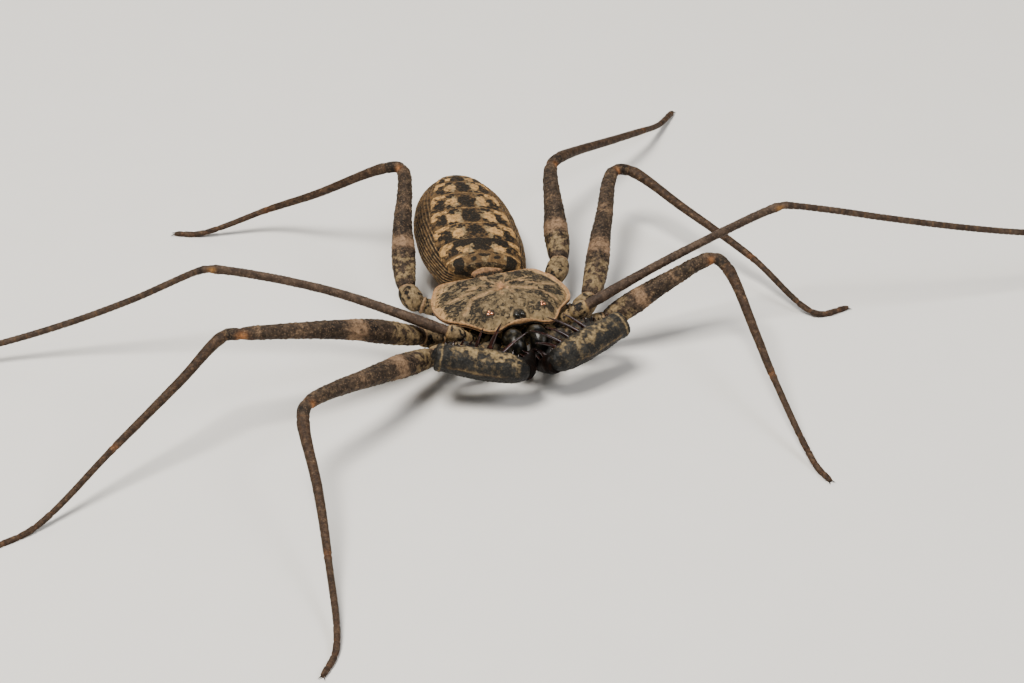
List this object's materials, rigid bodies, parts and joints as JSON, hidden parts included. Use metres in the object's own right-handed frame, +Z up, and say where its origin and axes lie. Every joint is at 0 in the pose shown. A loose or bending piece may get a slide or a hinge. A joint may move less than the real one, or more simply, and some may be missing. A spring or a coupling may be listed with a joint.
{
  "type": "whip spider",
  "caption": "Life-size still model of a whip spider, low and flat, with spined grasping palps folded in front and long thin feeler legs.",
  "frame": {"origin": "on the floor, under the middle of the model's box", "axes": "+X along the longest extent, from feeler tip to feeler tip, towards the animal's left; -Y is where the animal faces; +Z is up from the floor"},
  "size_m": [0.1286, 0.0654, 0.01],
  "materials": {
    "carapace": "granular shell, dull with a slight sheen",
    "underside": "dull shell",
    "abdomen": "fine-grained plates over a soft flank",
    "leg": "granular shell with paler bands",
    "shin": "smooth shell, slight sheen",
    "palp": "hard shell, glossy spines",
    "chelicera": "glossy black shell",
    "eye": "wet gloss"
  },
  "bodies": {
    "root": {"carapace": "carapace", "eyes_median": "eye", "underside": "underside", "pedicel": "underside", "abdomen": "abdomen", "eyes_lateral_left": "eye", "chelicera_left": "chelicera", "palp_left_trochanter": "palp", "palp_left_femur": "palp", "palp_left_tibia": "palp", "palp_left_hand": "palp", "palp_left_claw": "palp", "leg_1_left_trochanter": "shin", "leg_1_left_femur": "shin", "leg_1_left_whip_1": "shin", "leg_1_left_whip_2": "shin", "leg_1_left_whip_3": "shin", "leg_2_left_trochanter": "leg", "leg_2_left_femur": "leg", "leg_2_left_tibia": "shin", "leg_2_left_tarsus": "shin", "leg_3_left_trochanter": "leg", "leg_3_left_femur": "leg", "leg_3_left_tibia": "shin", "leg_3_left_tarsus": "shin", "leg_4_left_trochanter": "leg", "leg_4_left_femur": "leg", "leg_4_left_tibia": "shin", "leg_4_left_tarsus": "shin", "eyes_lateral_right": "eye", "chelicera_right": "chelicera", "palp_right_trochanter": "palp", "palp_right_femur": "palp", "palp_right_tibia": "palp", "palp_right_hand": "palp", "palp_right_claw": "palp", "leg_1_right_trochanter": "shin", "leg_1_right_femur": "shin", "leg_1_right_whip_1": "shin", "leg_1_right_whip_2": "shin", "leg_1_right_whip_3": "shin", "leg_2_right_trochanter": "leg", "leg_2_right_femur": "leg", "leg_2_right_tibia": "shin", "leg_2_right_tarsus": "shin", "leg_3_right_trochanter": "leg", "leg_3_right_femur": "leg", "leg_3_right_tibia": "shin", "leg_3_right_tarsus": "shin", "leg_4_right_trochanter": "leg", "leg_4_right_femur": "leg", "leg_4_right_tibia": "shin", "leg_4_right_tarsus": "shin"}
  },
  "joints": []
}
